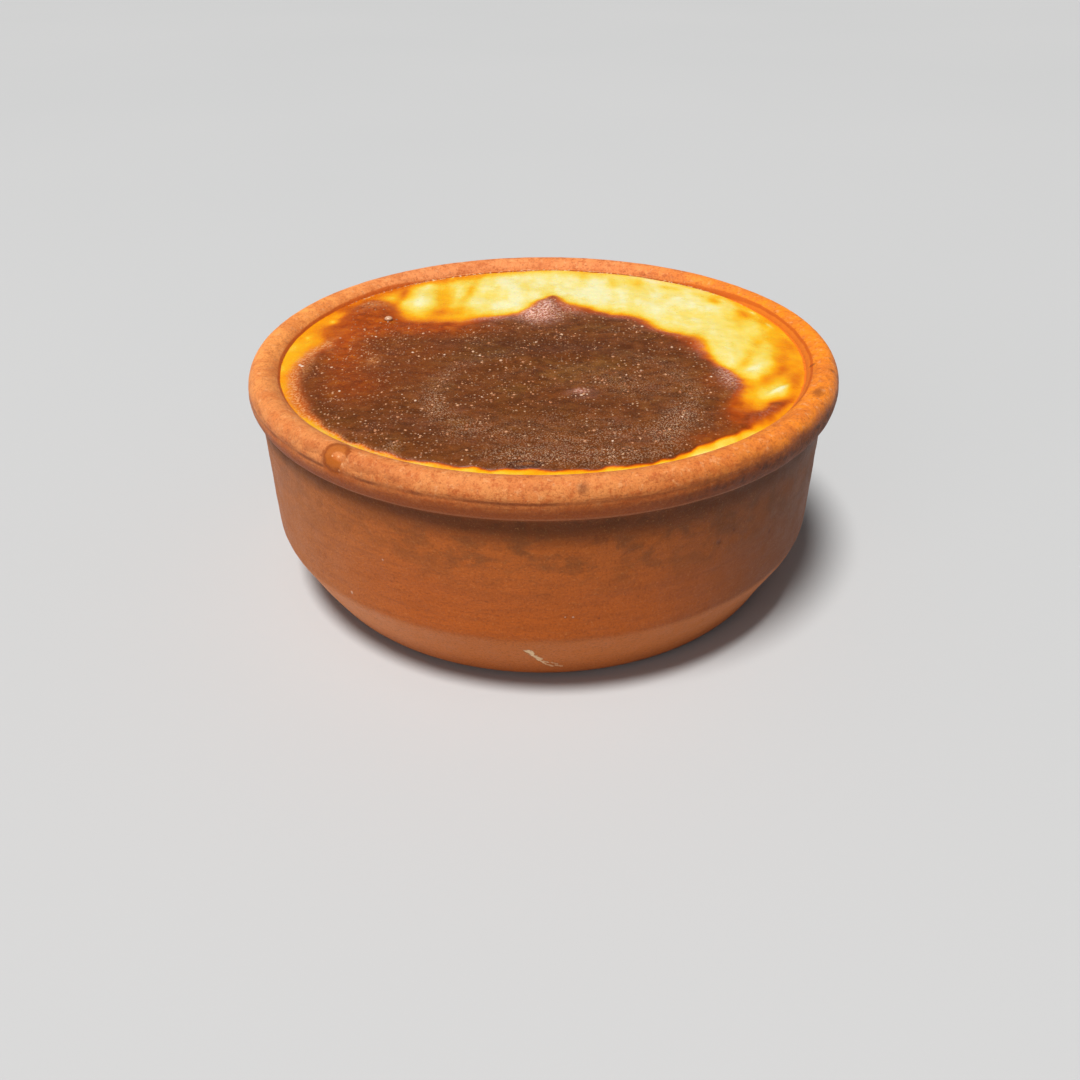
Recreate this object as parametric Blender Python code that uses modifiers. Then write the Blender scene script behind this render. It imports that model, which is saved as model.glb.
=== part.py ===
"""Rice pudding baked in a turned clay bowl.

Metres, +Z up. The bowl stands on z = 0 and its turning axis is the Z axis.
The front is towards -Y. Two solids: the bowl, and the pudding that fills it
almost to the rim.
"""

import math

import bpy

COLLECTION = "baked_rice_pudding"
TURN_STEPS = 80  # flats around every turned shape
MERGE_DISTANCE = 0.00005  # joins the turn's seam and its points on the axis

# Bowl, outside
BOWL_HEIGHT = 0.0476  # base to the crown of the rim
RIM_RADIUS = 0.0600  # outermost circle of the rolled rim
CROWN_RADIUS = 0.0572  # circle on which the rim is highest
RIM_DEPTH = 0.0077  # height of the rolled rim, crown to lip
LIP_DROP = 0.0003  # how far the lip hangs below the point where it meets the wall
WALL_RADIUS = 0.0579  # outer wall below the rim
WALL_FOOT_RADIUS = 0.0576  # outer wall where the bevel starts
BEVEL_HEIGHT = 0.0144  # top of the bevel that leads in to the base
BEVEL_ROUND = 0.0016  # how far the rounding at the bevel's top reaches each way
BASE_RADIUS = 0.0499  # outer edge of the bevel at the bottom
BASE_ROUND = 0.0030  # rounding between the bevel and the flat base

# Bowl, inside
RIM_INNER_REACH = 0.0039  # from the crown circle in to the narrowest circle
INNER_FOOT_RADIUS = 0.0530  # inner wall where the rounding to the floor starts
FLOOR_HEIGHT = 0.0070  # top of the bowl's floor
FLOOR_ROUND = 0.0120  # rounding between floor and inner wall

# Pudding
PUDDING_LEVEL = 0.0460  # flat part of its surface
CONTACT_GAP = 0.0003  # clearance between the pudding and the clay
MENISCUS_RISE = 0.0003  # the custard creeps up the clay by this much
MENISCUS_WIDTH = 0.0030  # and starts rising this far from the edge
TOP_RINGS = 12  # circles of points on the pudding's surface
RING_CROWDING = 1.4  # above 1, the circles crowd towards the edge, where it bends most
RING_RIPPLE = 0.00012  # depth of the faint circular dips in the skin
RIPPLE_LENGTH = 0.0170  # from one dip to the next

# Blisters and folds of the skin: x, y, height, radius
SWELLS = (
    (0.0010, 0.0260, 0.0011, 0.0055),
    (-0.0385, 0.0240, 0.0007, 0.0075),
    (0.0440, -0.0070, 0.0005, 0.0080),
    (-0.0300, -0.0200, 0.0003, 0.0100),
)


def elliptic_arc(centre, radii, start_deg, end_deg, count):
    """Points (r, z) on an ellipse around centre, both ends included."""
    points = []
    for i in range(count):
        angle = math.radians(start_deg + (end_deg - start_deg) * i / (count - 1))
        points.append(
            (
                centre[0] + radii[0] * math.cos(angle),
                centre[1] + radii[1] * math.sin(angle),
            )
        )
    return points


def along(start, end, share):
    """The point at a share of the way from start to end."""
    return (
        start[0] + (end[0] - start[0]) * share,
        start[1] + (end[1] - start[1]) * share,
    )


def toward(start, end, distance):
    """The point at a distance from start on the line to end."""
    return along(start, end, distance / math.dist(start, end))


def rounded_corner(before, corner, after, reach, count):
    """A corner between two straight lines, rounded by a quadratic curve."""
    first = toward(corner, before, reach)
    last = toward(corner, after, reach)
    points = []
    for i in range(count):
        share = i / (count - 1)
        points.append(along(along(first, corner, share), along(corner, last, share), share))
    return points


def inner_wall(gap=0.0):
    """The hollow's side from its floor up to the narrowest circle of the rim."""
    centre = (INNER_FOOT_RADIUS - FLOOR_ROUND, FLOOR_HEIGHT + FLOOR_ROUND)
    reach = FLOOR_ROUND - gap
    points = [(0.0, FLOOR_HEIGHT + gap)]
    points += elliptic_arc(centre, (reach, reach), -90.0, 0.0, 7)
    points.append((CROWN_RADIUS - RIM_INNER_REACH - gap, BOWL_HEIGHT - RIM_DEPTH / 2))
    return points


def bowl_profile():
    """From the middle of the hollow's floor, over the rim, down to the base."""
    half_depth = RIM_DEPTH / 2
    rim_centre = (CROWN_RADIUS, BOWL_HEIGHT - half_depth)
    lip = BOWL_HEIGHT - RIM_DEPTH
    wall_top = (WALL_RADIUS, lip + LIP_DROP)
    bevel_top = (WALL_FOOT_RADIUS, BEVEL_HEIGHT)
    bevel_foot = (BASE_RADIUS, 0.0)
    middle = (0.0, 0.0)
    points = inner_wall()
    points += elliptic_arc(rim_centre, (RIM_INNER_REACH, half_depth), 180.0, 90.0, 6)[1:]
    outer = (RIM_RADIUS - CROWN_RADIUS, half_depth)
    points += elliptic_arc(rim_centre, outer, 90.0, -60.0, 9)[1:]
    points.append(wall_top)
    points += rounded_corner(wall_top, bevel_top, bevel_foot, BEVEL_ROUND, 3)
    points += rounded_corner(bevel_top, bevel_foot, middle, BASE_ROUND, 5)
    points.append(middle)
    return points


def rim_inner_radius(height):
    """Radius of the rim's inner flank at a height between its middle and its crown."""
    half_depth = RIM_DEPTH / 2
    rise = (height - (BOWL_HEIGHT - half_depth)) / half_depth
    return CROWN_RADIUS - RIM_INNER_REACH * math.sqrt(1.0 - rise * rise)


def pudding_profile():
    """From the middle of the surface out to the clay, then down to the floor."""
    edge_height = PUDDING_LEVEL + MENISCUS_RISE
    edge_radius = rim_inner_radius(edge_height) - CONTACT_GAP
    points = []
    for i in range(TOP_RINGS + 1):
        share = 1.0 - (1.0 - i / TOP_RINGS) ** RING_CROWDING
        points.append((edge_radius * share, PUDDING_LEVEL))
    points += reversed(inner_wall(CONTACT_GAP))
    return points


def surface_height(x, y):
    """Height of the pudding's surface at a point."""
    edge_radius = rim_inner_radius(PUDDING_LEVEL + MENISCUS_RISE) - CONTACT_GAP
    radius = math.hypot(x, y)
    nearness = max(0.0, 1.0 - (edge_radius - radius) / MENISCUS_WIDTH)
    fade = 1.0 - nearness
    height = PUDDING_LEVEL + MENISCUS_RISE * nearness**2
    height -= RING_RIPPLE * fade * math.cos(2.0 * math.pi * radius / RIPPLE_LENGTH)
    for swell_x, swell_y, rise, reach in SWELLS:
        distance = math.hypot(x - swell_x, y - swell_y) / reach
        height += rise * fade * math.exp(-distance * distance)
    return height


def new_material(name, colour, roughness):
    material = bpy.data.materials.new(name)
    material.use_nodes = True
    shader = material.node_tree.nodes["Principled BSDF"]
    shader.inputs["Base Color"].default_value = (*colour, 1.0)
    shader.inputs["Roughness"].default_value = roughness
    shader.inputs["Metallic"].default_value = 0.0
    material.diffuse_color = (*colour, 1.0)
    return material


def turned_object(name, profile, material, collection):
    """A solid made by turning a profile around the Z axis."""
    mesh = bpy.data.meshes.new(name)
    points = [(r, 0.0, z) for r, z in profile]
    edges = [(i, i + 1) for i in range(len(points) - 1)]
    mesh.from_pydata(points, edges, [])
    mesh.materials.append(material)
    turned = bpy.data.objects.new(name, mesh)
    collection.objects.link(turned)
    screw = turned.modifiers.new("turn", "SCREW")
    screw.axis = "Z"
    screw.angle = 2.0 * math.pi
    screw.steps = TURN_STEPS
    screw.render_steps = TURN_STEPS
    screw.use_merge_vertices = True
    screw.merge_threshold = MERGE_DISTANCE
    screw.use_smooth_shade = True
    return turned


def make_bowl(collection):
    clay = new_material("terracotta", (0.52, 0.20, 0.09), 0.6)
    return turned_object("clay_bowl", bowl_profile(), clay, collection)


def make_pudding(collection):
    custard = new_material("baked_custard", (0.20, 0.08, 0.03), 0.35)
    blank = turned_object("pudding_blank", pudding_profile(), custard, collection)
    graph = bpy.context.evaluated_depsgraph_get()
    mesh = bpy.data.meshes.new_from_object(blank.evaluated_get(graph))
    for vertex in mesh.vertices:
        if vertex.co.z > PUDDING_LEVEL - CONTACT_GAP:
            vertex.co.z = surface_height(vertex.co.x, vertex.co.y)
    bpy.data.objects.remove(blank)
    mesh.name = "rice_pudding"
    pudding = bpy.data.objects.new("rice_pudding", mesh)
    collection.objects.link(pudding)
    return pudding


def main():
    for old in list(bpy.data.objects):
        bpy.data.objects.remove(old)
    collection = bpy.data.collections.new(COLLECTION)
    bpy.context.scene.collection.children.link(collection)
    make_bowl(collection)
    make_pudding(collection)


main()
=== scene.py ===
"""The looks of a baked rice pudding in its clay bowl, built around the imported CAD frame.

+Z is up and the front is towards -Y. Shapes are worked out in millimetres and turned
into metres where their meshes are made.
"""

import math
import random

import bpy
import numpy as np
from mathutils import Matrix, Vector, noise


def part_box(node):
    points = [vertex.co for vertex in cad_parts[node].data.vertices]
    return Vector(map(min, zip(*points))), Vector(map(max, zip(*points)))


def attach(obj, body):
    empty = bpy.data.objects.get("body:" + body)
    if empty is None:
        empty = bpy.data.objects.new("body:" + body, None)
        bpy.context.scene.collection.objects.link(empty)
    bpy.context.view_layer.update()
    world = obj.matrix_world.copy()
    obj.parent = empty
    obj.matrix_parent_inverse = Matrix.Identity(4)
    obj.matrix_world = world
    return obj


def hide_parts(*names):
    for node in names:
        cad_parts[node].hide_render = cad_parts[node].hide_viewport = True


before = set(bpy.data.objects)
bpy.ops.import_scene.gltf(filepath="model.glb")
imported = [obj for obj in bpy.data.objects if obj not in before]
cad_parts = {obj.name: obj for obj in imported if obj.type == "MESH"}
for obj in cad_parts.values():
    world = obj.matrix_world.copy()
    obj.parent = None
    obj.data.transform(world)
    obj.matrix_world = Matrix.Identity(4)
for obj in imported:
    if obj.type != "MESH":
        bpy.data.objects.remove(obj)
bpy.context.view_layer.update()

MM = 0.001

# ---- sizes, in millimetres

BOWL_LOW, BOWL_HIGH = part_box("clay_bowl")
RIM_RADIUS = (BOWL_HIGH[0] - BOWL_LOW[0]) / 2 / MM
BOWL_HEIGHT = BOWL_HIGH[2] / MM

# The bowl's turned profile, as in the CAD
CROWN_RADIUS = 57.2
RIM_DEPTH = 7.7
RIM_INNER_REACH = 3.9
LIP_DROP = 0.3
WALL_RADIUS = 57.9
WALL_FOOT_RADIUS = 57.6
BEVEL_HEIGHT = 14.4
BEVEL_ROUND = 1.6
BASE_RADIUS = 49.9
BASE_ROUND = 3.0
INNER_FOOT_RADIUS = 53.0
FLOOR_HEIGHT = 7.0
FLOOR_ROUND = 12.0

BOWL_COLUMNS = 640
RIM_STEP = 0.4  # from one ring of points to the next
WALL_STEP = 0.65
HIDDEN_STEP = 4.0

# The pudding
PUDDING_LEVEL = 46.0
EDGE_LEVEL = 45.4  # where it meets the clay
EDGE_TILT = 0.3  # higher by this at the back, lower by it at the front
CONTACT_RADIUS = 53.7  # where it meets the clay, seen from above
BACK_THICKENING = 1.0  # the clay stands further in by this at the back
MILK_LINE_RISE = 0.9  # on the right the dried line is further out, up the rim
CUSTARD_SHRINK = 0.55  # and the custard has drawn back from it
CONTACT_GAP = 0.3
EDGE_REACH = 0.35  # how far its surface runs into the clay
PUDDING_CELLS = 288
PUDDING_RADIUS = 54.0

# The skin's waves are rings round this place
RING_CENTRE = (4.0, -20.0)
RING_SQUASH = 1.2  # they are wider than deep by this
RING_LENGTH = 11.0  # from one wave to the next
FLAT_BLISTER = (-3.1, -49.5, 2.5, 0.95)  # at the front: x, y, half width, half length

# Outline of the browned skin, seen from above
SKIN_OUTLINE = (
    (33.7, 0), (35, -8), (37.8, -12), (39, -16.5), (38.4, -20.5), (37, -25), (36, -29),
    (37.4, -31), (40.4, -29.6), (43.2, -25.6), (44.6, -26.4), (42.8, -29.8), (39.2, -33.6),
    (36.4, -36.4), (32.6, -39.2), (26.9, -43.5), (20.6, -47.6), (11, -50.3), (0, -51),
    (-12, -50.2), (-21.2, -47.3), (-31, -42.2), (-38.3, -35.7), (-44.2, -28), (-48.1, -19),
    (-49.7, -8), (-48, 0), (-45.4, 5.5), (-43.8, 12), (-44.4, 19), (-43.2, 26.4), (-39.6, 30.2),
    (-35.6, 28.4), (-33, 23.4), (-29.6, 18.2), (-24, 16.9), (-19, 17.3), (-14.5, 18.6),
    (-8, 20.5), (-4.2, 23), (-0.6, 28.6), (2.6, 32.2), (5.4, 27.4), (10.6, 24), (14.8, 20.8),
    (19, 19.6), (22.5, 16.9), (25.2, 11.6), (29.6, 8), (32.8, 5.2),
)


# ---- numbers

def smooth(x, low, high):
    """0 below low, 1 above high, and a smooth step between."""
    t = np.clip((x - low) / (high - low), 0.0, 1.0)
    return t * t * (3.0 - 2.0 * t)


def perlin(points, size, shift=0.0, octaves=1):
    """Smooth noise about 0, at points in mm, with features about size mm across."""
    return np.array([
        noise.fractal((x / size + shift, y / size + shift, z / size - shift), 1.0, 2.0, octaves)
        for x, y, z in points
    ])


def blob(x, y, spot):
    """A soft elliptical spot: x, y, half width, half length, turn in degrees, strength."""
    centre_x, centre_y, width, length, turn, strength = spot
    c, s = math.cos(math.radians(turn)), math.sin(math.radians(turn))
    across = ((x - centre_x) * c + (y - centre_y) * s) / width
    along = ((y - centre_y) * c - (x - centre_x) * s) / length
    return strength * np.exp(-(across**2 + along**2))


def blobs(x, y, spots):
    """The sum of many soft spots."""
    return sum(blob(x, y, spot) for spot in spots)


def smooth_loop(points, steps=7):
    """A closed Catmull-Rom curve through the points."""
    p = np.array(points)
    before, after, beyond = np.roll(p, 1, 0), np.roll(p, -1, 0), np.roll(p, -2, 0)
    rows = []
    for k in range(steps):
        t = k / steps
        rows.append(0.5 * (
            2 * p + (after - before) * t
            + (2 * before - 5 * p + 4 * after - beyond) * t**2
            + (3 * p - before - 3 * after + beyond) * t**3
        ))
    return np.stack(rows, 1).reshape(-1, 2)


def signed_distance(x, y, loop):
    """Distance of points to a closed loop, positive inside it."""
    nearest = np.full(x.shape, 1e9)
    inside = np.zeros(x.shape, bool)
    for (ax, ay), (bx, by) in zip(loop, np.roll(loop, -1, 0)):
        ex, ey = bx - ax, by - ay
        t = np.clip(((x - ax) * ex + (y - ay) * ey) / (ex * ex + ey * ey), 0.0, 1.0)
        nearest = np.minimum(nearest, (x - ax - t * ex) ** 2 + (y - ay - t * ey) ** 2)
        if ay != by:
            inside ^= ((ay > y) != (by > y)) & (x < ex * (y - ay) / ey + ax)
    return np.where(inside, 1.0, -1.0) * np.sqrt(nearest)


# ---- meshes

def new_mesh_object(name, points, faces):
    """A smooth-shaded mesh object from points in mm."""
    mesh = bpy.data.meshes.new(name)
    mesh.from_pydata((np.asarray(points) * MM).tolist(), [], faces)
    mesh.shade_smooth()
    piece = bpy.data.objects.new(name, mesh)
    bpy.context.scene.collection.objects.link(piece)
    return piece


def add_attribute(piece, name, values):
    """One number for each point, for the material to read."""
    layer = piece.data.attributes.new(name, "FLOAT", "POINT")
    layer.data.foreach_set("value", np.asarray(values, np.float32))


def elliptic_arc(centre, radii, start_deg, end_deg, count):
    """Points along an ellipse, both ends included."""
    return [
        (centre[0] + radii[0] * math.cos(a), centre[1] + radii[1] * math.sin(a))
        for a in np.radians(np.linspace(start_deg, end_deg, count))
    ]


def rounded_corner(before, corner, after, reach, count):
    """A corner between two straight lines, rounded by a quadratic curve."""
    before, corner, after = (np.array(p, float) for p in (before, corner, after))
    first = corner + (before - corner) * reach / np.linalg.norm(before - corner)
    last = corner + (after - corner) * reach / np.linalg.norm(after - corner)
    return [
        tuple((1 - t) ** 2 * first + 2 * t * (1 - t) * corner + t * t * last)
        for t in np.linspace(0, 1, count)
    ]


def inner_wall(gap=0.0):
    """The hollow's side from its floor up to the narrowest circle of the rim."""
    centre = (INNER_FOOT_RADIUS - FLOOR_ROUND, FLOOR_HEIGHT + FLOOR_ROUND)
    reach = FLOOR_ROUND - gap
    points = elliptic_arc(centre, (reach, reach), -90, 0, 7)
    points.append((CROWN_RADIUS - RIM_INNER_REACH - gap, BOWL_HEIGHT - RIM_DEPTH / 2))
    return points


# ---- the pudding

SKIN_EDGE = smooth_loop(SKIN_OUTLINE)

# Swells of the surface: x, y, half width, half length, turn, height
SWELLS = (
    (1, 25, 3.4, 5, -12, 1), (2.6, 30.5, 1.4, 2, 0, 0.45), (-38.5, 24, 4.6, 7.5, 10, 0.75),
    (-34.2, 17, 0.8, 1.1, 10, 0.3), (43.5, -10, 2, 5.5, -30, 0.4), (38.5, -4, 2.2, 6, -8, 0.25),
    (45.1, -20.6, 0.8, 3.8, -45, 0.5), (41, -30.2, 1.5, 4.4, -46, 0.4),
    (49, 12.5, 0.8, 2.6, 10, 0.3), (-28.5, 32, 2.6, 6, 0, 0.25), (-7, 38, 4, 7, 0, 0.25),
    (14, 33, 6, 6, 0, 0.2), (-30, -20, 9, 12, 20, 0.25), (24, -34, 4, 8, -30, 0.2),
)
# Hollows between them
DIPS = (
    (47.5, -10.5, 1.6, 6.5, -20, 0.3), (46.5, -26.5, 1.2, 4, -40, 0.25),
    (49.5, 3, 1.8, 7, -5, 0.2), (-23.5, 33, 1.5, 9, 0, 0.2), (8, -21, 3, 1.6, 20, 0.2),
    (-18, 8, 8, 1.6, 22, 0.15), (-2, -9, 10, 1.5, 12, 0.12),
)
# Where the skin fades into the custard over a wider band
SOFT_EDGES = (
    (-24, 17, 12, 7, 0, 1.3), (-45, 10, 6, 8, 12, 1.3), (-39, 29, 7, 6, 0, 1),
    (7, 25, 8, 4, -25, 0.7), (36.5, -30, 4, 5, 0, 0.7), (24, 16, 10, 5, -40, 0.5),
    (31.5, 4, 5, 6, 0, 0.6),
)
# Where the open custard has caught colour: x, y, half width, half length, turn, strength
TOASTED = (
    (-23.4, 34, 2.3, 15, 2, 0.26), (-23.5, 22.5, 8, 3.4, 0, 0.24), (-20.2, 33, 2.4, 12, 0, 0.1),
    (-16.9, 38, 1.3, 9.5, -8, 0.2), (-12.5, 36, 1.6, 14, 0, 0.04), (-20, 46.5, 9, 3, 18, 0.16),
    (-35, 38.5, 4.6, 10, 42, 0.24), (-39.5, 32.5, 4, 3.4, 20, 0.2), (-46, 26, 3.4, 8, 28, 0.24),
    (-33.2, 32, 1.3, 10, -8, 0.24), (-46.8, 10.5, 3, 6.5, 8, 0.42),
    (-44.5, 15.5, 2.2, 3, 0, 0.3), (-50.5, 8, 2.6, 14, 10, 0.05), (17.3, 43, 1.3, 4.4, 0, 0.16),
    (23.5, 41.8, 2, 3.8, 0, 0.18), (10.4, 47, 1.8, 2.2, 0, 0.12),
    (30.5, 38.5, 3, 1.6, -40, 0.12), (37, 33.5, 2, 1.8, -40, 0.14), (40, 29, 1.6, 2.8, 5, 0.22),
    (45.4, 20.6, 1.3, 2.8, 10, 0.28), (43.5, 17, 2.6, 4, 10, 0.08),
    (48.6, 14.5, 1.2, 3.4, 14, 0.16), (50.6, 3.5, 2.4, 8.5, 4, 0.25),
    (48.4, -6.5, 1.9, 5, -14, 0.27), (46.2, -12.6, 1.5, 6.5, -40, 0.24),
    (49.2, -14.5, 1.8, 4.6, -24, 0.24), (44.5, 2, 1.6, 6, -24, 0.1),
    (41.5, -6, 1.3, 4.5, -30, 0.12), (43, -17, 2.2, 3.4, -30, 0.12),
    (40.2, -18.5, 1.2, 4, 0, 0.14), (48.6, -18.5, 1.3, 4.6, -22, 0.16),
    (44.6, -25.6, 1.4, 3.4, -48, 0.26), (47, -23.5, 1.2, 4, -38, 0.16),
    (38.4, -27, 2.4, 4, -20, 0.3), (38.2, -30, 2.4, 2.4, 0, 0.2),
    (42.4, -32, 1.2, 4, -46, 0.12), (2.5, 38, 0.8, 2.5, 0, 0.06),
)
# Custard that has stayed palest; the spots along the front strip are painted highlights
PALEST = (
    (-28.6, 31, 2, 6, 0, 0.5), (-27.6, 41.2, 0.8, 1.6, 0, 0.35),
    (-22.4, 46.6, 0.6, 1.2, 0, 0.3), (-20, 36, 0.8, 5, 0, 0.3),
    (-46.8, 17.8, 0.7, 1.2, 14, 0.7), (-50.6, 8.2, 0.5, 1, 10, 0.4), (-8, 40, 2.6, 6, 10, 0.5),
    (-6, 30, 2, 4, -20, 0.4), (12, 36, 4, 4, -20, 0.5), (24, 27, 2, 5, 30, 0.35),
    (42.2, -10.2, 1.4, 4, -56, 0.6), (45.1, -20.6, 0.6, 3.2, -45, 0.85),
    (49.6, 13.4, 0.6, 1.8, 10, 0.6), (47.6, 21.6, 0.5, 1.2, 10, 0.6),
    (27.6, -45.2, 0.7, 4.4, -60, 0.5), (22, -48.4, 0.5, 2.6, -66, 0.3),
    (-21.8, -47.9, 0.5, 2.4, 66, 0.35), (-29.4, -43.9, 0.5, 1.8, 56, 0.35),
    (-34.2, -40.3, 0.6, 2.2, 50, 0.5), (-39.4, -34.6, 0.6, 1.8, 41, 0.45),
)
# Skin that lets the red of the caramel through
EMBERS = (
    (-44.6, 9, 3.4, 7, 10, 1.3), (-41, -3, 5, 9, 10, 0.8), (-38.5, 12, 4.5, 7, 8, 0.7),
    (-37, -18, 7, 8, 20, 0.5), (-26, -4, 9, 14, 10, 0.2), (-25, 13, 11, 4.2, 0, 1.1),
    (33.5, -17, 4, 7, 0, 0.3), (30.5, 4, 3, 6, 20, 0.4), (-38.8, 23.5, 5, 9, 4, 1.2),
    (5, 27, 2, 4.4, 14, 1), (2.4, 30.6, 2.2, 1.8, 0, 0.9), (11, 22.6, 5, 1.5, -34, 0.8),
    (18, 19, 5, 1.3, -20, 0.7), (23.6, 14.6, 5, 1.4, -60, 0.8), (29.4, 7.4, 4.5, 1.5, -28, 0.7),
    (36.4, -27, 2.6, 6, -20, 0.6), (36, -32.6, 3.2, 3.6, -40, 0.8),
    (40.8, -30.4, 2.4, 6, -46, 1.2), (29, -40, 5, 2.4, 30, 0.4),
)
# Frosted patches, where the skin is all small bubbles, their pale grain partly a painted silvery
# sheen
FROSTED = (
    (8, -46.4, 13, 3.4, 2, 0.95), (22.6, -39, 2.4, 6, -22, 0.9),
    (25.5, -31.5, 3.4, 4.4, -10, 0.7), (-20.4, -27, 1.6, 5.5, 12, 0.8),
    (-4.5, -45.5, 5, 3, 0, 0.85), (-15.5, -38, 3, 3, 30, 0.5), (-26, -42.6, 1.6, 2, 0, 0.6),
    (16, -17.5, 9, 5, -20, 0.5), (2, -34, 16, 4, 0, 0.3),
)
# Darkest skin
CHARRED = (
    (0, 1.5, 25, 5.5, -5, 1), (-37, -12, 7, 9, 0, 0.6), (-20, -8, 10, 6, 0, 0.5),
    (-33, -18, 5, 10, 20, 0.4), (-41, -25, 3, 5, 26, 0.8), (-22, -36, 9, 3.5, -30, 0.6),
    (8, -28, 12, 3, 0, 0.35), (-12, -24, 9, 3, -20, 0.35),
)
# Painted sheen, pale and pinkish, with a fuzz of pale grains, on slopes and along the skin's
# edge
BLOOM_AND_SHEEN = (
    (0.2, 21.2, 3.6, 4.8, -14, 1), (0.8, 26.2, 1.4, 2.4, -10, 0.7), (-3, 21.5, 2.8, 4, 20, 0.6),
    (-11, 18.4, 6, 1.4, 4, 0.45), (-47.6, -5, 1.1, 8, 0, 0.45), (-45.4, 3.4, 1.2, 3, 20, 0.5),
    (-46, -22.5, 1, 6, 26, 0.2), (-39.2, 26.4, 3.4, 3, 0, 0.5), (-34.6, -5.4, 1.4, 1.8, 0, 0.5),
    (36.4, -14.5, 1.8, 5, 4, 0.6), (40.6, -30.8, 1.2, 4, -46, 0.12), (33.2, 1, 1.4, 5, -8, 0.2),
    (26, 9.6, 1.4, 6, 50, 0.15), (16, 18.4, 6, 1.4, -20, 0.15), (6.6, 23.4, 1.6, 4, 30, 0.3),
    (7.2, -20.6, 1.3, 0.8, 10, 0.7),
)
# Where the brown leans to olive (above 0) or to mauve (below 0); the lighter mauve is partly a
# painted sheen
OLIVE = (
    (-12, -2, 12, 4, 22, 0.8), (-20, -16, 7, 5, 20, 0.6), (10, -9, 10, 5, 5, 0.7),
    (-3, -18, 8, 4, 0, 0.5), (7.5, -21.5, 4, 2.2, 10, -1.6), (-10, 17, 12, 3, 0, -0.5),
    (4, -44, 22, 5, 0, -0.5), (24, -32, 5, 8, -20, -0.5), (26, -22, 5, 5, 0, 0.5),
    (29.5, -14, 4, 6, 0, 0.8),
)


def disc_grid(radius, cells):
    """x, y of a square grid pressed into a disc so that its cells stay alike."""
    side = np.linspace(-1.0, 1.0, cells + 1)
    u, v = np.meshgrid(side, side)
    steep = np.abs(v) > np.abs(u)
    reach = np.where(steep, v, u)
    safe = np.where(reach == 0.0, 1.0, reach)
    turn = math.pi / 4 * np.where(steep, u, v) / safe
    x = radius * reach * np.where(steep, np.sin(turn), np.cos(turn))
    y = radius * reach * np.where(steep, np.cos(turn), np.sin(turn))
    return x.ravel(), y.ravel()


def skin_depth(x, y, flat, front, narrow):
    """How far a point lies inside the skin's edge, which is ragged, and scalloped in front."""
    azimuth = np.arctan2(x, -y)
    phase = (58.0 + 10.0 * azimuth) * azimuth + 5.0 * perlin(flat, 14.0, 5.9)
    waves = np.sin(phase) + 0.5 * np.sin(0.43 * phase)
    scallops = (0.27 - 0.11 * smooth(x, 5.0, 20.0)) * waves
    ragged = 0.55 * perlin(flat, 3.0, 3.1, 3) * (1.0 - 0.75 * narrow)
    ragged = ragged + 0.35 * perlin(flat, 9.0, 7.7)
    return signed_distance(x, y, SKIN_EDGE) + ragged + scallops * front


def surface_height(x, y, flat, front, depth_in, to_wall, ring, blister):
    """Lowest at the clay, the skin as a plateau, with swells and fine unevenness."""
    edge_level = EDGE_LEVEL + EDGE_TILT * y / PUDDING_RADIUS
    shoulder = smooth(to_wall, -0.6, 5.5)
    height = edge_level + (PUDDING_LEVEL - 0.1 - edge_level) * shoulder
    height += 0.22 * smooth(depth_in, -0.6, 1.4) * smooth(to_wall, 0.5, 3.0)
    lip = np.exp(-((depth_in - 0.7) / 0.8) ** 2)
    height += 0.1 * front * lip * smooth(to_wall, 0.3, 1.5)
    height += 0.16 * smooth(blister, 1.0, 0.4)
    inward = smooth(to_wall, 0.2, 2.4)
    height += (blobs(x, y, SWELLS) - blobs(x, y, DIPS)) * inward
    waves = np.cos(ring * 2 * math.pi / RING_LENGTH)
    height += 0.1 * waves * inward * smooth(ring, 34.0, 22.0)
    height += (0.2 * perlin(flat, 11.0, 1.7, 2) + 0.08 * perlin(flat, 2.6, 5.3, 2)) * inward
    wrinkles = perlin(flat * (0.5, 1.0, 1.0), 1.0, 9.1)
    return height + 0.05 * wrinkles * smooth(depth_in, 0.5, 2.5)


def skin_tone(x, y, front, depth_in):
    """How far the skin has baked: its edge is a band from 0, custard, to 1, dark skin."""
    soft = blobs(x, y, SOFT_EDGES)
    inner = 1.0 + 1.8 * soft + 0.5 * smooth(x, -28.0, -40.0) * (1.0 - front) - 0.8 * front
    outer = 1.0 + 1.4 * soft + 0.35 * smooth(x, -40.0, -46.0) * (1.0 - front) - 0.82 * front
    steps = np.array([-4.0, -1.9, -0.9, -0.3, 0.4, 1.2, 2.4, 4.6])
    tones = np.array([0.0, 0.06, 0.18, 0.36, 0.56, 0.7, 0.88, 1.0])
    return np.interp(np.where(depth_in > 0.0, depth_in / inner, depth_in / outer), steps, tones)


def custard_tone(x, y, flat, narrow, to_wall):
    """How far the open custard has caught colour, from 0 where it is palest."""
    streaky = perlin(flat * (1.0, 0.3, 1.0), 2.2, 6.6, 2)
    tone = 0.05 + 0.07 * perlin(flat, 6.0, 2.2, 3) + 0.05 * streaky
    tone += 0.1 * smooth(x, 36.0, 50.0) + 0.02 * smooth(x, 8.0, 24.0)
    tone += 0.16 * smooth(to_wall, 7.0, 2.0) * smooth(x, 30.0, -8.0) * (1.0 - narrow)
    tone += 0.12 * smooth(to_wall, 3.6, 0.6) * (1.0 - narrow)
    strip = narrow * smooth(to_wall, 7.0, 5.0) * smooth(x, 40.0, 34.0)
    tone += strip * (0.22 + 0.1 * perlin(flat, 4.0, 4.4) - 0.05 * smooth(x, 12.0, 22.0))
    tone += blobs(x, y, TOASTED) * (1.0 - 0.8 * strip)
    pale = np.clip(blobs(x, y, PALEST), 0.0, 1.0)
    return np.clip(tone * (1.0 - pale) - 0.1 * pale, 0.0, 0.56)


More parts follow.
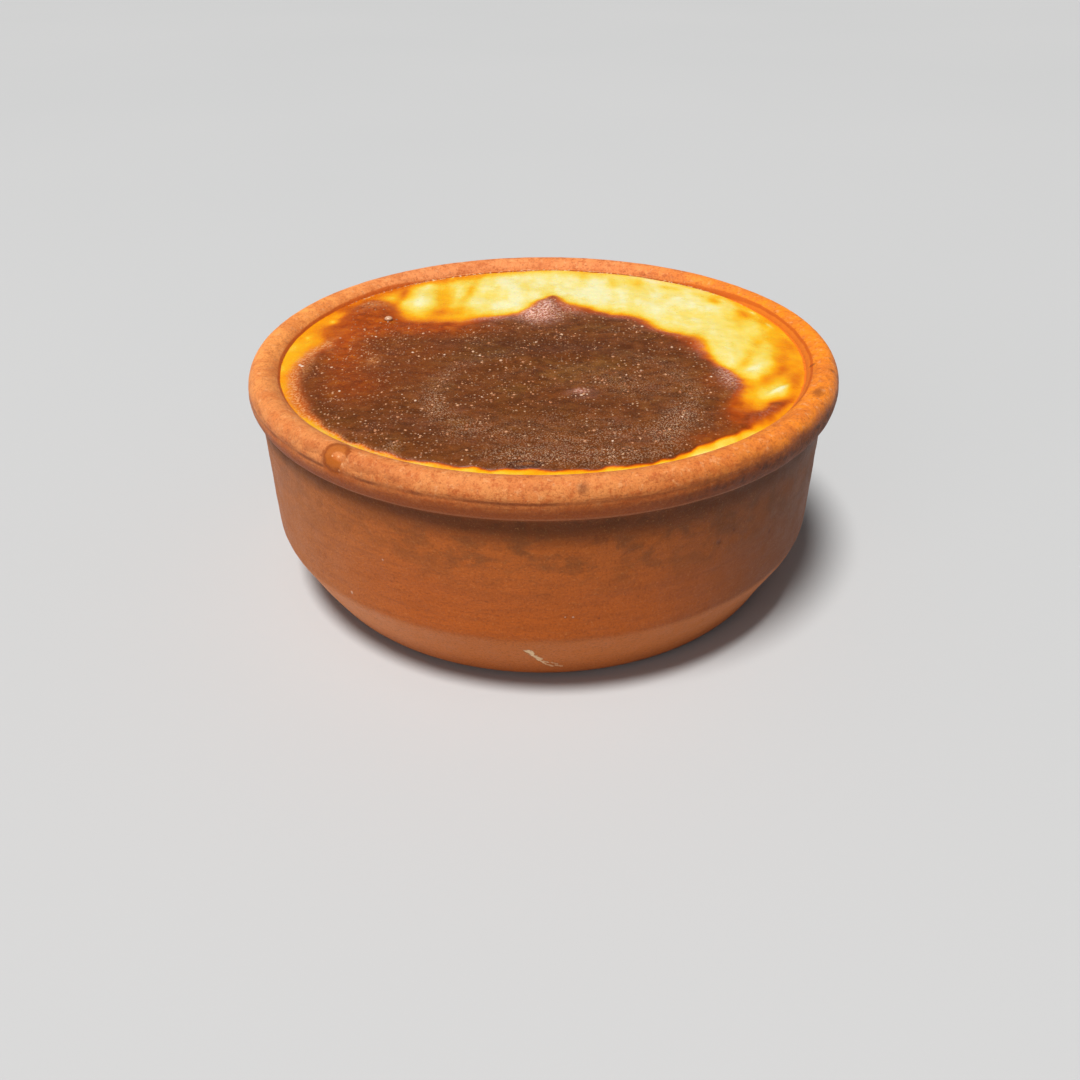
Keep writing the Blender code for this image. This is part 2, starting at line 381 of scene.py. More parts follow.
def pudding_surface(x, y):
    """Height, depth inside the skin's edge, and colour masks at points x, y."""
    flat = np.stack([x, y, np.zeros_like(x)], -1)
    front = smooth(y, -24.0, -36.0) * smooth(x, 40.0, 36.0)
    left = smooth(y, 12.0, 0.0) * smooth(x, -10.0, -40.0)
    narrow = np.maximum(left, front)  # where only a narrow strip of custard shows
    to_wall = PUDDING_RADIUS - np.hypot(x, y)
    depth_in = skin_depth(x, y, flat, front, narrow)
    ring = np.hypot(x - RING_CENTRE[0], (y - RING_CENTRE[1]) * RING_SQUASH)
    at_x, at_y, half_width, half_length = FLAT_BLISTER
    blister = np.hypot((x - at_x) / half_width, (y - at_y) / half_length)
    height = surface_height(x, y, flat, front, depth_in, to_wall, ring, blister)
    skin = skin_tone(x, y, front, depth_in)
    toast = 1.0 - (1.0 - skin) * (1.0 - custard_tone(x, y, flat, narrow, to_wall))

    # On the left the skin ends in a pale edge, painted as a highlight where it rolls down
    from_edge = (depth_in + 0.2) / (1.0 - 0.4 * front)
    pale_edge = (0.75 - 0.1 * front) * left * np.exp(-(from_edge ** 2))

    # A ring of fine bubbles round the middle of the skin, on the side towards the front
    off_ring = (ring - 25.0 - 2.0 * perlin(flat, 9.0, 4.1)) / 2.6
    halo = 0.45 * np.exp(-(off_ring ** 2)) * smooth(y, 4.0, -14.0)
    frost = np.clip(blobs(x, y, FROSTED) + halo, 0.0, 1.0)
    bloom_and_sheen = np.clip(blobs(x, y, BLOOM_AND_SHEEN), 0.0, 1.0)
    outline = np.exp(-(((blister - 1.0) / 0.25) ** 2))  # of the flat blister
    return height, depth_in, {
        "toast": np.clip(toast, 0.0, 1.0),
        "ember": np.clip(blobs(x, y, EMBERS), 0.0, 1.0),
        "frost": frost * smooth(depth_in, -0.2, 1.2),
        "bloom_and_sheen": bloom_and_sheen * smooth(depth_in, -0.8, 0.6) + pale_edge,
        "olive": np.clip(0.5 + 0.5 * blobs(x, y, OLIVE), 0.0, 1.0),
        "charred": np.clip(blobs(x, y, CHARRED), 0.0, 1.0) + 4.0 * outline,
    }


def make_pudding():
    """The whole pudding: a fine grid on top, carried down to the bowl's floor."""
    x, y = disc_grid(PUDDING_RADIUS + EDGE_REACH, PUDDING_CELLS)
    height, _, masks = pudding_surface(x, y)
    points = [np.stack([x, y, height], -1)]
    row = PUDDING_CELLS + 1
    index = np.arange(row * row).reshape(row, row)
    quads = np.stack([index[:-1, :-1], index[:-1, 1:], index[1:, 1:], index[1:, :-1]], -1)
    faces = quads.reshape(-1, 4).tolist()
    rim = np.concatenate([index[0, :-1], index[:-1, -1], index[-1, :0:-1], index[:0:-1, 0]])
    angle = np.arctan2(y[rim], x[rim])
    above, used = rim, row * row
    for r, z in reversed(inner_wall(CONTACT_GAP)):
        level = np.full(len(rim), z)
        points.append(np.stack([r * np.cos(angle), r * np.sin(angle), level], -1))
        below = used + np.arange(len(rim))
        faces += np.stack([above, below, np.roll(below, -1), np.roll(above, -1)], -1).tolist()
        above, used = below, used + len(rim)
    lowest = FLOOR_HEIGHT + CONTACT_GAP
    points.append(np.array([[0.0, 0.0, lowest]]))
    faces += np.stack([np.full(len(rim), used), np.roll(above, -1), above], -1).tolist()
    points = np.concatenate(points)
    points[row * row:, 2] = np.maximum(points[row * row:, 2], lowest)
    pudding = new_mesh_object("pudding_body", points, faces)
    for name, mask in masks.items():
        values = np.zeros(len(points))
        values[: row * row] = mask
        add_attribute(pudding, name, values)
    pudding.data.materials.append(pudding_material())
    return pudding


# ---- material building

def on_clay(angle, radius, height):
    """x, y, z of a place given by its angle from the front, in degrees, towards the right."""
    a = math.radians(angle)
    return radius * math.sin(a), -radius * math.cos(a), height


LIGHT_LEVEL = 1.38  # how brightly the lamps light a level white surface


def seen(*colour):
    """The colour of a level surface that looks like these 0 to 255 values on the stage."""
    def linear(value):
        v = value / 255.0
        return v / 12.92 if v <= 0.04045 else ((v + 0.055) / 1.055) ** 2.4
    return tuple(min(0.95, linear(value) / LIGHT_LEVEL) for value in colour)


class Nodes:
    """A small helper that adds nodes to a material and links them."""

    def __init__(self, name):
        self.material = bpy.data.materials.new(name)
        self.material.use_nodes = True
        self.tree = self.material.node_tree
        self.shader = self.tree.nodes["Principled BSDF"]
        self.place = self.add("TexCoord").outputs["Object"]

    def add(self, kind, inputs=(), **settings):
        """A shader node with its settings, and its inputs linked or set."""
        node = self.tree.nodes.new("ShaderNode" + kind)
        for key, value in settings.items():
            setattr(node, key, value)
        for key, value in dict(inputs).items():
            self.put(node.inputs[key], value)
        return node

    def put(self, socket, value):
        """Links an output, or sets a plain value."""
        if isinstance(value, bpy.types.NodeSocket):
            self.tree.links.new(value, socket)
        elif isinstance(value, tuple) and len(value) == 3 and socket.type == "RGBA":
            socket.default_value = (*value, 1.0)
        else:
            socket.default_value = value

    def attribute(self, name):
        return self.add("Attribute", attribute_name=name).outputs["Fac"]

    def math(self, operation, a, b=0.0, clamp=False):
        node = self.add("Math", {0: a, 1: b}, operation=operation, use_clamp=clamp)
        return node.outputs[0]

    def plus(self, a, b, clamp=False):
        return self.math("ADD", a, b, clamp)

    def minus(self, a, b, clamp=False):
        return self.math("SUBTRACT", a, b, clamp)

    def times(self, a, b, clamp=False):
        return self.math("MULTIPLY", a, b, clamp)

    def swing(self, noise, width):
        """Noise moved to lie about 0, width apart from its lowest to its highest."""
        return self.times(self.minus(noise, 0.5), width)

    def most(self, values):
        """The highest of some outputs."""
        top = values[0]
        for value in values[1:]:
            top = self.math("MAXIMUM", top, value)
        return top

    def range(self, value, low, high, to_low=0.0, to_high=1.0):
        """to_low at low, to_high at high, held beyond them, with a smooth step between."""
        inputs = enumerate((value, low, high, to_low, to_high))
        return self.add("MapRange", inputs, interpolation_type="SMOOTHSTEP").outputs[0]

    def mix(self, factor, a, b):
        """The colour a where the factor is 0, b where it is 1."""
        return self.add("Mix", {0: factor, 6: a, 7: b}, data_type="RGBA").outputs[2]

    def layers(self, colour, layers):
        """The colour under layers, each given as its mask and the colour seen."""
        for mask, tone in layers:
            colour = self.mix(mask, colour, seen(*tone))
        return colour

    def separate(self):
        """x, y and z of the place, in metres."""
        return self.add("SeparateXYZ", {0: self.place}).outputs

    def radius(self):
        """Distance from the bowl's axis, in metres."""
        x, y, _ = self.separate()
        return self.math("SQRT", self.plus(self.times(x, x), self.times(y, y)))

    def turned(self, along):
        """A place for noise drawn out round the axis, as the potter's wheel leaves it."""
        x, y, z = self.separate()
        parts = (self.times(x, along), self.times(y, along), self.plus(z, self.radius()))
        return self.add("CombineXYZ", enumerate(parts)).outputs[0]

    def stretched(self, scale):
        """The place with its x, y and z scaled."""
        return self.add("Mapping", {"Vector": self.place, "Scale": scale}).outputs["Vector"]

    def noise(self, size_mm, detail=2.0, roughness=0.5, vector=None, distortion=0.0):
        """Noise from 0 to 1 with features about size_mm across."""
        return self.add("TexNoise", {
            "Vector": vector or self.place,
            "Scale": 1.0 / (size_mm * MM),
            "Detail": detail,
            "Roughness": roughness,
            "Distortion": distortion,
        }).outputs["Fac"]

    def cells(self, size_mm, vector=None):
        """Voronoi cells about size_mm apart: distance to the centre, and a random colour."""
        inputs = {"Vector": vector or self.place, "Scale": 1.0 / (size_mm * MM)}
        node = self.add("TexVoronoi", inputs)
        return node.outputs["Distance"], node.outputs["Color"]

    def dots(self, size_mm, radii, channel, chances, vector=None):
        """Dots in some of the cells: radii from rim to core, chances from none to full."""
        near, colour = self.cells(size_mm, vector)
        chance = self.add("SeparateColor", {0: colour}).outputs[channel]
        return self.times(self.range(near, *radii), self.range(chance, *chances))

    def patch(self, centre, half, turn=0.0, ragged=0.5, soft=0.2):
        """1 inside an ellipsoid with a ragged border: centre and half sizes in mm."""
        node = self.add("Mapping", vector_type="TEXTURE", inputs={
            "Vector": self.place,
            "Location": [c * MM for c in centre],
            "Rotation": (0.0, 0.0, math.radians(turn)),
            "Scale": [h * MM for h in half],
        })
        length = self.add("VectorMath", {0: node.outputs["Vector"]}, operation="LENGTH")
        sway = self.swing(self.noise(0.8, 3.0, 0.7), 2.0 * ragged)
        return self.range(self.plus(length.outputs["Value"], sway), 0.95 + soft, 0.95 - soft)

    def marks(self, spots, ragged=0.5, soft=0.2):
        """All patches given as angle, radius, height, half width, half depth, half height."""
        return self.most([
            self.patch(on_clay(angle, radius, height), half, angle, ragged, soft)
            for angle, radius, height, *half in spots
        ])

    def stroke(self, start, end, half_width, ragged=0.3):
        """1 along a scratch between two places given as angle, radius, height."""
        first, last = (Vector(on_clay(*place)) * MM for place in (start, end))
        run = last - first
        def vector(operation, a, b, output=0):
            node = self.add("VectorMath", {0: a, 1: b}, operation=operation)
            return node.outputs[output]
        from_first = vector("SUBTRACT", self.place, first)
        along = vector("DOT_PRODUCT", from_first, run / run.length_squared, "Value")
        share = self.times(along, 1.0, clamp=True)
        nearest = self.add("VectorMath", {0: run, "Scale": share}, operation="SCALE").outputs[0]
        off = vector("DISTANCE", from_first, nearest, "Value")
        half = half_width * MM
        sway = self.swing(self.noise(0.5, 3.0, 0.7), 4.0 * ragged * half)
        return self.range(self.plus(off, sway), 1.1 * half, 0.6 * half)

    def ramp(self, value, stops):
        """Colours along a value, each stop given as its position and the colour seen."""
        node = self.add("ValToRGB", {"Fac": value})
        band = node.color_ramp
        while len(band.elements) < len(stops):
            band.elements.new(0.5)
        for element, (position, *colour) in zip(band.elements, stops):
            element.position = position
            element.color = (*seen(*colour), 1.0)
        return node.outputs["Color"]

    def bump(self, height, distance_mm, strength=1.0, under=None):
        """Fine relief as a normal, over the normal of a relief under it if that is given."""
        inputs = {"Height": height, "Distance": distance_mm * MM, "Strength": strength}
        if under is not None:
            inputs["Normal"] = under
        return self.add("Bump", inputs).outputs["Normal"]

    def finish(self, **inputs):
        """The material, once these inputs of its shader are linked or set."""
        for name, value in inputs.items():
            self.put(self.shader.inputs[name.replace("_", " ")], value)
        return self.material


def pudding_material():
    """Custard and browned skin, with painted sheen, pale grains and burst bubbles, up to the
    clay.
    """
    n = Nodes("baked_custard")
    ember, frost = n.attribute("ember"), n.attribute("frost")
    level = n.plus(n.attribute("toast"), n.swing(n.noise(0.9, 3.0, 0.65), 0.1))
    level = n.plus(level, n.swing(n.noise(5.0, 3.0, 0.55), 0.12), clamp=True)
    colour = n.ramp(level, (
        (0.0, 258, 252, 192), (0.08, 258, 238, 134), (0.17, 258, 224, 84),
        (0.28, 258, 192, 20), (0.4, 256, 160, 2), (0.54, 232, 120, 4),
        (0.66, 184, 78, 8), (0.8, 132, 56, 16),
    ))
    is_skin = n.range(level, 0.64, 0.9)
    colour = n.mix(is_skin, colour, skin_colour(n))
    red = n.ramp(n.noise(2.6, 4.0, 0.65), (
        (0.3, 142, 55, 3), (0.52, 187, 78, 3), (0.75, 229, 119, 16),
    ))
    glow = n.times(ember, n.range(level, 0.45, 0.75, 0.0, 0.85), clamp=True)
    colour = with_bloom_and_sheen(n, n.mix(glow, colour, red))

    # Small burst bubbles: pale dots on the skin, thick in the frosted patches; the pale tops are
    # partly dried milk, partly painted glints
    large = n.dots(0.8, (0.36, 0.14), 0, (0.5, 0.9))
    large = n.times(large, n.range(n.noise(6.0, 2.0), 0.36, 0.6, 0.2, 1.0))
    dust = n.dots(0.42, (0.4, 0.16), 1, (0.7, 0.95), n.stretched((1.0, 1.0, 0.9)))
    dust = n.times(dust, n.range(n.noise(4.0, 3.0), 0.42, 0.62, 0.1, 0.8))
    grain = n.times(n.range(n.cells(0.36)[0], 0.55, 0.2), frost)
    dots = n.times(n.most([large, dust, n.times(grain, 0.75)]), is_skin)
    pale = n.mix(ember, seen(242, 194, 156), seen(234, 150, 86))
    colour = n.mix(n.times(dots, 0.85), colour, pale)

    gloss = n.range(n.noise(3.0, 3.0), 0.3, 0.7, 0.26, 0.4)
    leather = n.noise(0.6, 4.0, 0.65, n.stretched((0.85, 1.0, 1.0)))
    soft = n.bump(n.times(leather, n.range(is_skin, 0.0, 1.0, 0.3, 1.0)), 0.14, 0.8)
    rise = n.plus(dots, n.times(grain, 0.8))
    return n.finish(
        Base_Color=with_edge(n, colour),
        Roughness=n.plus(gloss, n.times(frost, 0.1)),
        Subsurface_Weight=0.2,
        Subsurface_Radius=(1.0, 0.55, 0.2),
        Subsurface_Scale=0.8 * MM,
        IOR=1.42,
        Specular_IOR_Level=0.22,
        Normal=n.bump(rise, 0.08, 1.0, soft),
    )


def skin_colour(n):
    """Drifts between an olive and a mauve brown, the mauve partly a painted sheen, with darker
    streaks and wrinkles.
    """
    drift = n.plus(n.attribute("olive"), n.swing(n.noise(7.0, 4.0, 0.6), 1.6))
    toned = n.ramp(drift, (
        (0.1, 138, 82, 55), (0.35, 132, 70, 26), (0.6, 128, 69, 23), (0.95, 137, 85, 33),
    ))
    shade = n.noise(2.2, 5.0, 0.65, n.stretched((0.75, 1.0, 1.0)), 0.4)
    charring = n.range(n.noise(3.0, 4.0, 0.65), 0.35, 0.6, 0.2, 0.75)
    return n.layers(toned, (
        (n.range(shade, 0.34, 0.62, 0.75, 0.0), (88, 42, 10)),
        (n.range(shade, 0.55, 0.75, 0.0, 0.4), (162, 102, 54)),
        (n.times(n.attribute("charred"), charring, clamp=True), (86, 40, 14)),
    ))


def with_bloom_and_sheen(n, colour):
    """Adds a pale pink painted sheen with a fuzz of pale pink grains, tan on the left."""
    x, _, _ = n.separate()
    bloom_and_sheen = n.attribute("bloom_and_sheen")
    tan = n.range(x, -0.015, -0.035)
    blush = n.mix(tan, seen(210, 128, 101), seen(212, 118, 46))
    # Painted sheen on slopes and along the skin's edge
    colour = n.mix(n.times(bloom_and_sheen, 0.6), colour, blush)
    fuzz = n.times(bloom_and_sheen, n.range(n.noise(0.55, 3.0, 0.8), 0.49, 0.56))
    return n.mix(fuzz, colour, n.mix(tan, seen(264, 214, 196), seen(256, 186, 124)))


def with_edge(n, colour):
    """Adds clay beyond the custard, the dark line on it and flecks of dried foam."""
    x, y, _ = n.separate()
    from_edge = n.minus(n.radius(), custard_edge(n))
    clay = n.mix(n.noise(0.9, 4.0, 0.7), seen(240, 128, 54), seen(252, 168, 104))
    clay = n.mix(n.range(x, 0.02, 0.045, 0.0, 0.9), clay, seen(252, 128, 20))
    colour = n.mix(n.range(from_edge, 0.0, 0.25 * MM), colour, clay)
    burnt_milk = n.mix(n.range(y, 0.02, 0.045), seen(222, 100, 8), seen(186, 84, 18))
    colour = n.mix(contact_line(n), colour, burnt_milk)
    flecks = n.range(n.math("ABSOLUTE", from_edge), 1.3 * MM, 0.4 * MM)
    flecks = n.times(flecks, n.range(y, 0.02, 0.04))
    flecks = n.times(flecks, n.range(n.noise(0.8, 3.0, 0.7), 0.54, 0.61))
    return n.mix(n.times(flecks, 0.85), colour, seen(255, 226, 176))


CONTACT_HEIGHTS = (0.0440, 0.0448)  # in metres: the clay is stained above these


def custard_edge(n):
    """Radius in metres out to which custard shows."""
    x, y, _ = n.separate()
    right = n.range(x, 0.036, 0.052, 0.0, CUSTARD_SHRINK * MM)
    back = n.range(y, 0.038, 0.051, 0.0, BACK_THICKENING * MM)
    sway = n.swing(n.noise(3.0, 3.0, 0.6), 0.5 * MM)
    return n.plus(n.minus(CONTACT_RADIUS * MM, n.most([right, back])), sway)


def milk_line(n):
    """Radius in metres of the line the milk has dried to."""
    x, y, _ = n.separate()
    right = n.times(n.range(x, 0.036, 0.05), n.range(y, -0.04, -0.028, 0.0, MILK_LINE_RISE * MM))
    back = n.range(y, 0.038, 0.051, 0.0, BACK_THICKENING * MM)
    sway = n.swing(n.noise(5.0, 3.0, 0.6), 0.5 * MM)
    left = n.range(x, 0.0, -0.03, 0.0, 0.15 * MM)
    out = n.plus(n.most([left, right]), CONTACT_RADIUS * MM)
    return n.plus(n.minus(out, back), sway)


def contact_line(n):
    """A thin dark ring of scorched milk."""
    off = n.math("ABSOLUTE", n.minus(n.radius(), milk_line(n)))
    _, y, z = n.separate()
    reach = n.range(y, 0.01, 0.045, 0.34 * MM, 0.75 * MM)
    core = n.range(y, 0.01, 0.045, 0.12 * MM, 0.3 * MM)
    return n.times(n.range(off, reach, core), n.range(z, *CONTACT_HEIGHTS))


# ---- blisters on the skin

# The larger ones: x, y, radius, shade; the three by (7, -22) are painted glints
BLISTERS = (
    (-34.2, 17, 1, 0.93), (-48.6, -7.8, 0.5, 1), (-49.2, -7, 0.4, 1), (-29.8, -36.9, 0.42, 0.6),
    (-31.6, -35.1, 0.34, 0.5), (-26.3, -31.9, 0.38, 0.55), (-29.2, -26.6, 0.36, 0.7),
    (7.3, -22.5, 0.36, 1), (8.4, -22.1, 0.26, 1), (6.2, -22.9, 0.24, 0.95),
    (6.4, 23.6, 0.3, 0.85), (-35.5, -2, 0.3, 0.7), (-36.6, -1.2, 0.26, 0.7),
    (1.4, 24, 0.3, 0.9), (-1.6, 22.6, 0.28, 0.85),
)
BUBBLE_COUNT = 1300
BUBBLE_TRIES = 5 * BUBBLE_COUNT
BUBBLE_SIDES = 8
BUBBLE_SEED = 41
BUBBLE_ROOT = 0.12  # how deep it is set into the skin


def scattered_bubbles(draw):
    """Small bubbles as x, y, z, radius, shade, in clumps and more of them on the left."""
    spots = []
    for _ in range(BUBBLE_TRIES):
        reach = PUDDING_RADIUS * math.sqrt(draw.random())
        angle = draw.uniform(0, 2 * math.pi)
        spots.append((reach * math.cos(angle), reach * math.sin(angle)))
    x, y = np.array(spots).T
    height, depth_in, _ = pudding_surface(x, y)
    clump = perlin(np.stack([x, y, 0 * x], -1), 7.0, 12.5, 2)
    liking = 0.35 + 1.1 * clump + 0.25 * smooth(x, 20.0, -30.0)
    liking = smooth(depth_in, 0.8, 2.5) * liking
    chosen = []
    for px, py, pz, like in zip(x, y, height, liking):
        if len(chosen) < BUBBLE_COUNT and draw.random() < like:
            chosen.append((px, py, pz, 0.1 + 0.32 * draw.random() ** 3.2, draw.random()))
    return chosen


def placed_blisters():
    """The few larger ones as x, y, z, radius, shade."""
    x, y, radii, shades = np.array(BLISTERS).T
    return list(zip(x, y, pudding_surface(x, y)[0], radii, shades))


def add_dome(points, faces, centre, radius, draw):
    """Adds a closed dome with an uneven outline, squeezed to an oval where it is small."""
    px, py, pz = centre
    rise = radius * (draw.uniform(0.3, 0.5) + 0.15 * smooth(radius, 0.5, 0.8))
    squeeze = 1.0 - draw.uniform(0.0, 0.4) * min(1.0, 0.35 / radius)
    turn = draw.uniform(0, math.pi)
    c, s = math.cos(turn), math.sin(turn)
    start = len(points)
    for level, share in ((-BUBBLE_ROOT, 1.0), (0.45 * rise, 0.86), (0.85 * rise, 0.5)):
        for k in range(BUBBLE_SIDES):
            a = 2 * math.pi * (k + 0.3 * draw.random()) / BUBBLE_SIDES
            along = radius * share * math.cos(a)
            across = radius * squeeze * share * math.sin(a)
            point = (px + along * c - across * s, py + along * s + across * c, pz + level)
            points.append(point)
    points.append((px, py, pz + rise))
    points.append((px, py, pz - BUBBLE_ROOT))
    top, bottom = len(points) - 2, len(points) - 1
    foot, middle, high = (start + ring * BUBBLE_SIDES for ring in range(3))
    for k in range(BUBBLE_SIDES):
        m = (k + 1) % BUBBLE_SIDES
        faces.append((foot + k, foot + m, middle + m, middle + k))
        faces.append((middle + k, middle + m, high + m, high + k))
        faces.append((high + k, high + m, top))
        faces.append((foot + m, foot + k, bottom))


def bubble_material():
    """Dried milk, stained in places, its palest shades partly painted glints."""
    n = Nodes("bubble_skin")
    colour = n.ramp(n.attribute("shade"), (
        (0.0, 150, 84, 44), (0.5, 196, 126, 80), (0.9, 236, 182, 140), (1.0, 262, 234, 208),
    ))
    stain = n.range(n.noise(0.2), 0.4, 0.7, 0.1, 0.7)
    return n.finish(Base_Color=n.mix(stain, colour, seen(190, 120, 74)), Roughness=0.35)


def make_bubbles():
    """Tiny closed domes that stand on the skin, all in one mesh."""
    draw = random.Random(BUBBLE_SEED)
    points, faces, shades = [], [], []
    for *centre, radius, shade in scattered_bubbles(draw) + placed_blisters():
        add_dome(points, faces, centre, radius, draw)
        shades += [shade] * (len(points) - len(shades))
    bubbles = new_mesh_object("skin_bubbles", points, faces)
    add_attribute(bubbles, "shade", shades)
    bubbles.data.materials.append(bubble_material())
    return bubbles


# ---- the bowl

def bowl_profile():
    """Rings (r, z) from the middle of the hollow's floor, over the rim, to the base."""
    half_depth = RIM_DEPTH / 2
    rim_centre = (CROWN_RADIUS, BOWL_HEIGHT - half_depth)
    lip = BOWL_HEIGHT - RIM_DEPTH
    wall_top = (WALL_RADIUS, lip + LIP_DROP)
    bevel_top = (WALL_FOOT_RADIUS, BEVEL_HEIGHT)
    bevel_foot = (BASE_RADIUS, 0.0)
    inside = [(1.0, FLOOR_HEIGHT)] + inner_wall()
    rim = elliptic_arc(rim_centre, (RIM_INNER_REACH, half_depth), 180, 90, 40)
    rim += elliptic_arc(rim_centre, (RIM_RADIUS - CROWN_RADIUS, half_depth), 90, -62, 60)[1:]
    rim.append(wall_top)
    outside = [wall_top]
    outside += rounded_corner(wall_top, bevel_top, bevel_foot, BEVEL_ROUND, 9)
    outside += rounded_corner(bevel_top, bevel_foot, (0.0, 0.0), BASE_ROUND, 9)
    under = [outside[-1], (1.0, 0.0)]
    rows = []
    for line, step in (
        (inside, HIDDEN_STEP), (rim, RIM_STEP), (outside, WALL_STEP), (under, HIDDEN_STEP),
    ):
        rows += resampled(line, step)[:-1]
    rows.append(under[-1])
    return np.array(rows)


def resampled(line, step):
    """Points at even steps along a broken line, both ends included."""
    line = np.array(line, float)
    length = np.concatenate([[0.0], np.cumsum(np.linalg.norm(np.diff(line, axis=0), axis=1))])
    count = max(2, int(round(length[-1] / step)) + 1)
    at = np.linspace(0.0, length[-1], count)
    return [(np.interp(a, length, line[:, 0]), np.interp(a, length, line[:, 1])) for a in at]


CREASE_HEIGHT = 44.35  # of a line that the wheel has left round the rim's outer side
WALL_SHIFT = -0.35  # along x: the wall stands a little off the rim's middle


def turned_points(rows):
    """All the bowl's points, ring by ring, with the unevenness of hand turning."""
    tangent = np.gradient(rows, axis=0)
    tangent /= np.linalg.norm(tangent, axis=1)[:, None]
    angle = np.linspace(0.0, 2 * math.pi, BOWL_COLUMNS, endpoint=False)
    r, a = np.meshgrid(rows[:, 0], angle, indexing="ij")
    z = np.meshgrid(rows[:, 1], angle, indexing="ij")[0]
    normal_r = np.repeat(-tangent[:, 1], BOWL_COLUMNS).reshape(r.shape)
    normal_z = np.repeat(tangent[:, 0], BOWL_COLUMNS).reshape(r.shape)
    place = np.stack([r * np.cos(a), r * np.sin(a), z], -1).reshape(-1, 3)
    outer = smooth(r, 50.0, 54.0) * smooth(z, 0.0, 2.0)
    wall = smooth(z, 40.5, 39.0) * outer
    relief = 0.05 * perlin(place, 14.0, 2.0, 2) + 0.025 * perlin(place, 3.0, 4.0, 2)
    relief = relief + 0.02 * perlin(place, 1.2, 6.0)
    drawn_out = np.stack([z, 0.02 * np.cos(a) * z, 0.02 * np.sin(a) * z], -1).reshape(-1, 3)
    relief = relief + 0.05 * perlin(drawn_out, 1.5, 8.0, 2) * wall.ravel()
    crease = np.exp(-((z - CREASE_HEIGHT) / 0.35) ** 2) * smooth(r, 58.5, 59.5)
    relief -= 0.24 * crease.ravel() * (0.6 + 0.8 * perlin(place, 20.0, 3.3))
    lift = (relief * outer.ravel()).reshape(r.shape)
    wobble = 0.16 * np.cos(2 * a + 0.7) + 0.08 * np.cos(3 * a - 1.1)
    out = r + normal_r * lift + wobble * smooth(r, 54.0, 57.0) * outer
    up = z + normal_z * lift + 0.1 * np.cos(2 * a + 2.1) * smooth(z, 38.0, 47.0) * outer
    x = out * np.cos(a) + WALL_SHIFT * wall
    return np.stack([x, out * np.sin(a), up], -1).reshape(-1, 3)


def make_bowl():
    """The bowl, turned from its profile."""
    rows = bowl_profile()
    points = turned_points(rows)
    index = np.arange(len(points)).reshape(len(rows), BOWL_COLUMNS)
    right = np.roll(index, -1, 1)
    quads = np.stack([index[:-1], index[1:], right[1:], right[:-1]], -1)
    faces = quads.reshape(-1, 4).tolist()
    first, last = len(points), len(points) + 1
    points = np.concatenate([points, [[0, 0, FLOOR_HEIGHT], [0, 0, 0.0]]])
    faces += [(first, i, j) for i, j in zip(index[0].tolist(), right[0].tolist())]
    faces += [(last, j, i) for i, j in zip(index[-1].tolist(), right[-1].tolist())]
    bowl = new_mesh_object("bowl_clay", points, faces)
    bowl.data.materials.append(clay_material())
    return bowl


# Marks on the clay: angle from the front, radius, height, half width, half depth, half height
DRIP = ((-36.7, 58.5, 46.3, 2.9, 2.9, 2.8),)
DRIP_INSIDE = ((-36.7, 58.5, 46.3, 2.35, 2.6, 2.3),)
DRIP_HOLLOW = ((-35.8, 58.6, 46.7, 1.6, 2, 0.6), (-33.6, 59.4, 45.3, 1.6, 2.6, 1.9))
DRIP_CORE = ((-36.9, 59.4, 44.9, 2.1, 2.2, 2),)
DRIP_GLINTS = (
    (-37.2, 58.9, 46.5, 0.24, 0.5, 0.14), (-35.9, 58.6, 46.7, 0.3, 0.5, 0.16),
    (-34.7, 59.4, 45.9, 0.16, 0.5, 0.26), (-35.2, 60, 44.7, 0.16, 0.5, 0.24),
)
DRIP_TRAIL = ((-34.6, 60.1, 44.9), (-35, 60, 42.3), 0.6)
# The scratch in the bevel: start, end, half width
SCRATCHES = (
    ((-3.1, 55.7, 10.9), (-2.4, 55.2, 9.9), 0.72),
    ((-2.2, 54.8, 9.2), (-0.7, 54.0, 7.7), 0.44),
    ((-1.5, 54.1, 7.9), (0.3, 52.8, 5.5), 0.28),
    ((-0.2, 53.6, 6.9), (0.6, 53.2, 6.3), 0.3),
    ((0.7, 52.7, 5.3), (1.5, 52.4, 4.7), 0.35),
    ((1.4, 53.2, 6.2), (2.5, 52.9, 5.6), 0.25),
    ((2.2, 52.6, 5.1), (3.5, 52.3, 4.4), 0.28),
)
SPECKS = (
    (-38.5, 57.4, 16.7, 0.35, 1, 0.35), (-29.5, 57.9, 27.5, 0.2, 1, 0.2),
    (3.6, 57.9, 20, 0.15, 1, 0.15), (5, 57.9, 19.9, 0.25, 1, 0.2),
)
PITS = (
    (32.5, 57.9, 29.5, 0.5, 1, 0.5), (35.9, 57.9, 31, 0.4, 1, 0.4), (47, 57.9, 26, 0.5, 1, 0.6),
    (6.1, 59, 46.6, 1, 1.2, 1), (63.8, 57.1, 47.4, 2, 1, 3), (79, 54.6, 46.6, 0.5, 1, 0.6),
    (75.5, 58.4, 47.2, 0.6, 0.9, 0.6),
)
# Heights in metres at which one tone gives way to the next
RIM_TO_WALL = (0.0406, 0.0396)
BEVEL_TOP = (0.0155, 0.0135)
RIM_EDGE = 0.0409  # of a painted highlight line along the rim's lower edge
